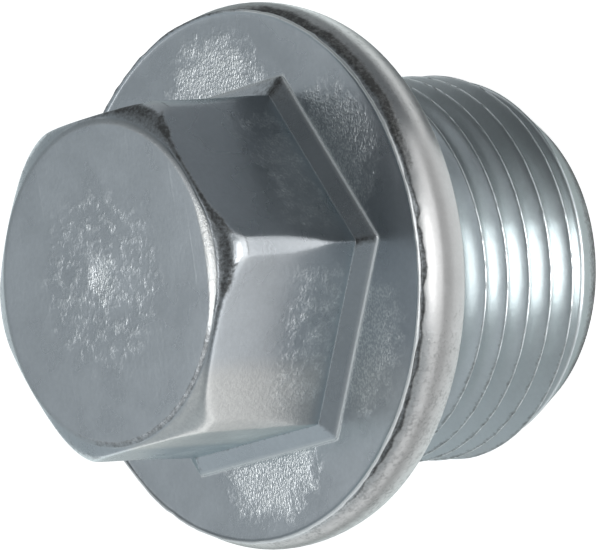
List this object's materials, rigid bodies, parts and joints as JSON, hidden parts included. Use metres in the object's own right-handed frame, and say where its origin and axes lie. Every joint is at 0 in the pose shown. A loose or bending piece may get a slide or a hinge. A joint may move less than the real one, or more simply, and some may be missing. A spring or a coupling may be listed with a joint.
{
  "type": "drain plug",
  "caption": "Flanged hexagon-head drain plug with a right-hand fine thread, a barrelled round flange and a chamfered end, in zinc-plated steel.",
  "frame": {"origin": "centre of the flat end face of the thread, on which the plug stands", "axes": "+Z along the thread's axis from the thread's end face to the hexagon head; a corner of the hexagon points along +X"},
  "size_m": [0.028, 0.028, 0.026],
  "materials": {
    "zinc_steel": "bright zinc plating over forged and rolled steel, semi-gloss, with fine scratches and dark residue in the corners"
  },
  "bodies": {
    "root": {"drain_plug": "zinc_steel"}
  },
  "joints": []
}
